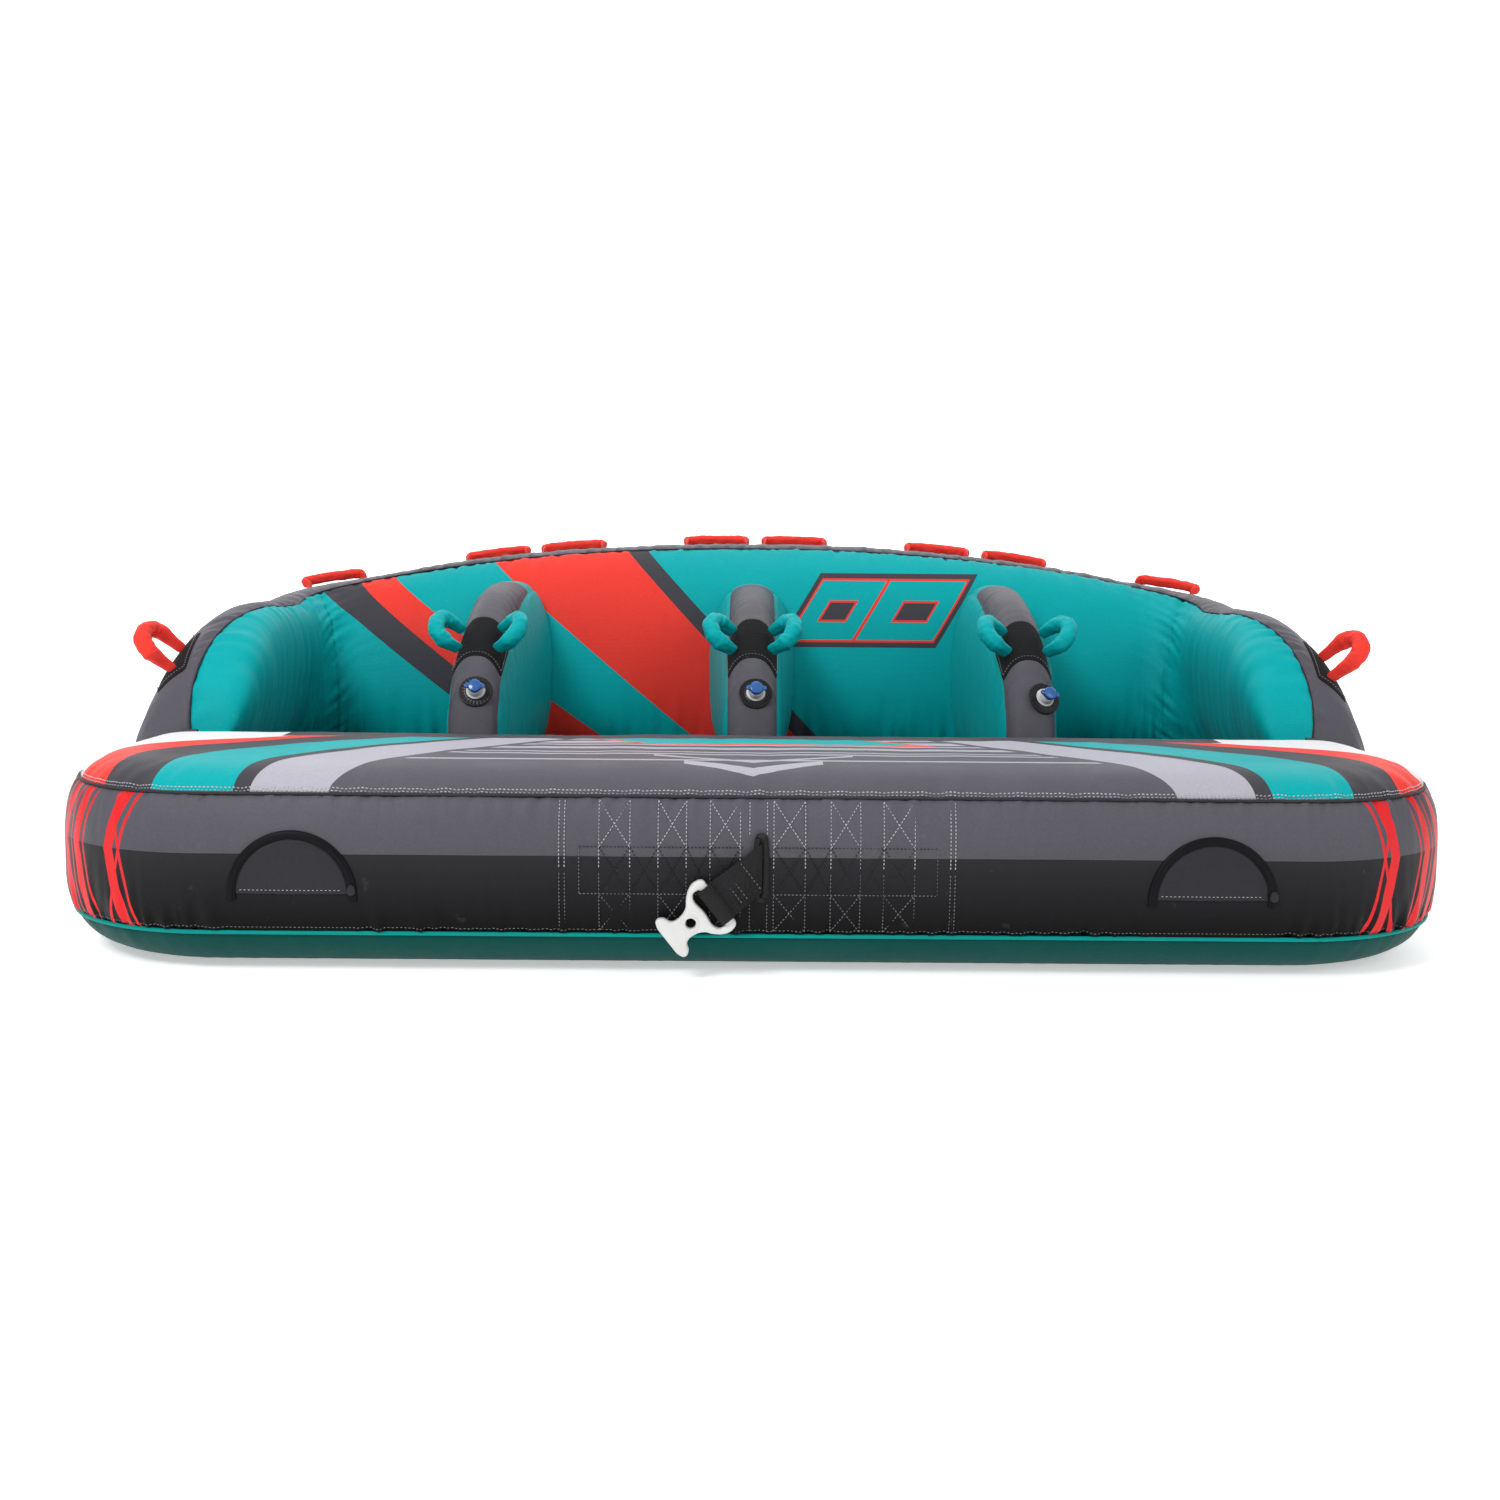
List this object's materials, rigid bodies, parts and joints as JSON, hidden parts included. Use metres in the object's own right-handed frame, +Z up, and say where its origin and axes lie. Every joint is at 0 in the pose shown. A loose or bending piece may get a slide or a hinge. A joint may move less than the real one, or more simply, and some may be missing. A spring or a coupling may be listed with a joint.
{
  "type": "towable tube",
  "caption": "Inflatable sofa-style towable water tube with a raised front deck, a wrap-around backrest, seat dividers, grab handles and webbing tow points.",
  "frame": {"origin": "on the ground, under the middle of the tube's bounding box", "axes": "+Z up; +X across the seats, to the right as seen from the tow side; the tow side faces -Y"},
  "size_m": [2.265, 1.5522, 0.6622],
  "materials": {
    "black_neoprene": "matte",
    "black_rubber": "satin",
    "black_webbing": "matte",
    "bladder_pvc": "satin",
    "blue_plastic": "gloss",
    "dark_teal_fabric": "matte",
    "grey_fabric": "matte",
    "printed_fabric": "matte",
    "red_fabric": "matte",
    "teal_fabric": "matte",
    "white_plastic": "satin",
    "zip_tape": "matte"
  },
  "bodies": {
    "tube": {"arm_patch_left": "black_neoprene", "arm_patch_right": "black_neoprene", "backrest_bladder": "bladder_pvc", "backrest_front_cover": "teal_fabric", "backrest_outer_cover": "grey_fabric", "backrest_valve": "black_rubber", "deck_bladder": "bladder_pvc", "deck_bottom_cover": "dark_teal_fabric", "deck_side_band": "grey_fabric", "deck_top_cover": "printed_fabric", "deck_valve_left": "black_rubber", "deck_valve_right": "black_rubber", "divider_bladder_center": "bladder_pvc", "divider_bladder_left": "bladder_pvc", "divider_bladder_right": "bladder_pvc", "divider_cover_center": "grey_fabric", "divider_cover_left": "grey_fabric", "divider_cover_right": "grey_fabric", "flap_zip_left": "zip_tape", "flap_zip_right": "zip_tape", "handle_patch_center": "black_neoprene", "handle_patch_left": "black_neoprene", "handle_patch_right": "black_neoprene", "side_tab": "black_webbing", "slot_binding_front": "black_webbing", "slot_binding_rear": "black_webbing", "valve_body_center": "white_plastic", "valve_body_left": "white_plastic", "valve_body_right": "white_plastic", "valve_flange_center": "black_rubber", "valve_flange_left": "black_rubber", "valve_flange_right": "black_rubber"},
    "access_flap_left": {"access_flap_left": "grey_fabric"},
    "access_flap_right": {"access_flap_right": "grey_fabric"},
    "arm_handle_left": {"arm_handle_left": "red_fabric"},
    "arm_handle_right": {"arm_handle_right": "red_fabric"},
    "crest_handle_1": {"crest_handle_1": "red_fabric"},
    "crest_handle_2": {"crest_handle_2": "red_fabric"},
    "crest_handle_3": {"crest_handle_3": "red_fabric"},
    "crest_handle_4": {"crest_handle_4": "red_fabric"},
    "crest_handle_5": {"crest_handle_5": "red_fabric"},
    "crest_handle_6": {"crest_handle_6": "red_fabric"},
    "crest_handle_7": {"crest_handle_7": "red_fabric"},
    "crest_handle_8": {"crest_handle_8": "red_fabric"},
    "divider_handle_center_a": {"divider_handle_center_a": "teal_fabric"},
    "divider_handle_center_b": {"divider_handle_center_b": "teal_fabric"},
    "divider_handle_left_a": {"divider_handle_left_a": "teal_fabric"},
    "divider_handle_left_b": {"divider_handle_left_b": "teal_fabric"},
    "divider_handle_right_a": {"divider_handle_right_a": "teal_fabric"},
    "divider_handle_right_b": {"divider_handle_right_b": "teal_fabric"},
    "tow_connector_front": {"tow_connector_front": "white_plastic"},
    "tow_connector_rear": {"tow_connector_rear": "white_plastic"},
    "tow_strap_front": {"tow_strap_front": "black_webbing"},
    "tow_strap_rear": {"tow_strap_rear": "black_webbing"},
    "valve_cap_center": {"valve_cap_center": "blue_plastic"},
    "valve_cap_left": {"valve_cap_left": "blue_plastic"},
    "valve_cap_right": {"valve_cap_right": "blue_plastic"},
    "zip_slider_left": {"zip_slider_left": "black_rubber"},
    "zip_slider_right": {"zip_slider_right": "black_rubber"}
  },
  "joints": [
    {"name": "access_flap_left_hinge", "type": "hinge", "parent": "tube", "child": "access_flap_left", "pos_m": [-0.67, -0.7495, 0.121], "axis": [1, 0, 0], "range_deg": [0, 150]},
    {"name": "access_flap_right_hinge", "type": "hinge", "parent": "tube", "child": "access_flap_right", "pos_m": [0.67, -0.7495, 0.121], "axis": [1, 0, 0], "range_deg": [0, 150]},
    {"name": "arm_handle_left_hinge", "type": "hinge", "parent": "tube", "child": "arm_handle_left", "pos_m": [-1.07296, -0.0841, 0.42404], "axis": [-0.0239, 0.8687, 0.4948], "range_deg": [-20, 35]},
    {"name": "arm_handle_right_hinge", "type": "hinge", "parent": "tube", "child": "arm_handle_right", "pos_m": [1.07296, -0.0841, 0.42404], "axis": [-0.0239, -0.8687, -0.4948], "range_deg": [-20, 35]},
    {"name": "crest_handle_1_hinge", "type": "hinge", "parent": "tube", "child": "crest_handle_1", "pos_m": [-0.93193, 0.56808, 0.553], "axis": [0.8059, 0.5747, 0.1424], "range_deg": [-8, 90]},
    {"name": "crest_handle_2_hinge", "type": "hinge", "parent": "tube", "child": "crest_handle_2", "pos_m": [-0.57968, 0.60124, 0.6092], "axis": [0.9918, 0, 0.1278], "range_deg": [-8, 90]},
    {"name": "crest_handle_3_hinge", "type": "hinge", "parent": "tube", "child": "crest_handle_3", "pos_m": [-0.40645, 0.6013, 0.62759], "axis": [0.9965, 0, 0.0839], "range_deg": [-8, 90]},
    {"name": "crest_handle_4_hinge", "type": "hinge", "parent": "tube", "child": "crest_handle_4", "pos_m": [-0.08106, 0.60136, 0.64268], "axis": [0.9999, 0, 0.0122], "range_deg": [-8, 90]},
    {"name": "crest_handle_5_hinge", "type": "hinge", "parent": "tube", "child": "crest_handle_5", "pos_m": [0.09608, 0.60136, 0.64248], "axis": [0.9999, 0, -0.0149], "range_deg": [-8, 90]},
    {"name": "crest_handle_6_hinge", "type": "hinge", "parent": "tube", "child": "crest_handle_6", "pos_m": [0.42247, 0.6013, 0.62621], "axis": [0.9961, 0, -0.0878], "range_deg": [-8, 90]},
    {"name": "crest_handle_7_hinge", "type": "hinge", "parent": "tube", "child": "crest_handle_7", "pos_m": [0.59971, 0.60123, 0.60657], "axis": [0.9911, 0, -0.1331], "range_deg": [-8, 90]},
    {"name": "crest_handle_8_hinge", "type": "hinge", "parent": "tube", "child": "crest_handle_8", "pos_m": [0.92955, 0.56976, 0.55341], "axis": [0.815, -0.5618, -0.1424], "range_deg": [-8, 90]},
    {"name": "divider_handle_center_a_hinge", "type": "hinge", "parent": "tube", "child": "divider_handle_center_a", "pos_m": [-0.03799, 0.00129, 0.45505], "axis": [-0.0127, 0.8466, 0.5321], "range_deg": [-15, 30]},
    {"name": "divider_handle_center_b_hinge", "type": "hinge", "parent": "tube", "child": "divider_handle_center_b", "pos_m": [0.03799, 0.00129, 0.45505], "axis": [-0.0127, -0.8466, -0.5321], "range_deg": [-15, 30]},
    {"name": "divider_handle_left_a_hinge", "type": "hinge", "parent": "tube", "child": "divider_handle_left_a", "pos_m": [-0.55699, 0.00129, 0.45505], "axis": [-0.0127, 0.8466, 0.5321], "range_deg": [-15, 30]},
    {"name": "divider_handle_left_b_hinge", "type": "hinge", "parent": "tube", "child": "divider_handle_left_b", "pos_m": [-0.48101, 0.00129, 0.45505], "axis": [-0.0127, -0.8466, -0.5321], "range_deg": [-15, 30]},
    {"name": "divider_handle_right_a_hinge", "type": "hinge", "parent": "tube", "child": "divider_handle_right_a", "pos_m": [0.48101, 0.00129, 0.45505], "axis": [-0.0127, 0.8466, 0.5321], "range_deg": [-15, 30]},
    {"name": "divider_handle_right_b_hinge", "type": "hinge", "parent": "tube", "child": "divider_handle_right_b", "pos_m": [0.55699, 0.00129, 0.45505], "axis": [-0.0127, -0.8466, -0.5321], "range_deg": [-15, 30]},
    {"name": "tow_connector_front_pivot", "type": "hinge", "parent": "tow_strap_front", "child": "tow_connector_front", "pos_m": [-0.05262, -0.763, 0.11552], "axis": [-0.6157, 0, 0.788], "range_deg": [0, 120]},
    {"name": "tow_connector_rear_pivot", "type": "hinge", "parent": "tow_strap_rear", "child": "tow_connector_rear", "pos_m": [0.06821, 0.763, 0.1023], "axis": [0.2079, 0, 0.9781], "range_deg": [0, 120]},
    {"name": "tow_strap_front_swing", "type": "hinge", "parent": "tube", "child": "tow_strap_front", "pos_m": [0.012, -0.763, 0.166], "axis": [0, 0, 1], "range_deg": [0, 90]},
    {"name": "tow_strap_rear_swing", "type": "hinge", "parent": "tube", "child": "tow_strap_rear", "pos_m": [-0.012, 0.763, 0.11935], "axis": [0, 0, 1], "range_deg": [0, 90]},
    {"name": "valve_cap_center_turn", "type": "hinge", "parent": "tube", "child": "valve_cap_center", "pos_m": [0.00744, -0.11584, 0.37527], "axis": [0.0515, -0.8634, 0.502], "range_deg": [0, 270]},
    {"name": "valve_cap_left_turn", "type": "hinge", "parent": "tube", "child": "valve_cap_left", "pos_m": [-0.51024, -0.11583, 0.37515], "axis": [0.0637, -0.8628, 0.5016], "range_deg": [0, 270]},
    {"name": "valve_cap_right_turn", "type": "hinge", "parent": "tube", "child": "valve_cap_right", "pos_m": [0.54827, -0.11481, 0.3694], "axis": [0.3095, -0.8224, 0.4773], "range_deg": [0, 270]},
    {"name": "zip_slider_left_travel", "type": "hinge", "parent": "tube", "child": "zip_slider_left", "pos_m": [-0.67, -0.75, 0.121], "axis": [0, -1, 0], "range_deg": [0, 168]},
    {"name": "zip_slider_right_travel", "type": "hinge", "parent": "tube", "child": "zip_slider_right", "pos_m": [0.67, -0.75, 0.121], "axis": [0, -1, 0], "range_deg": [0, 168]}
  ]
}
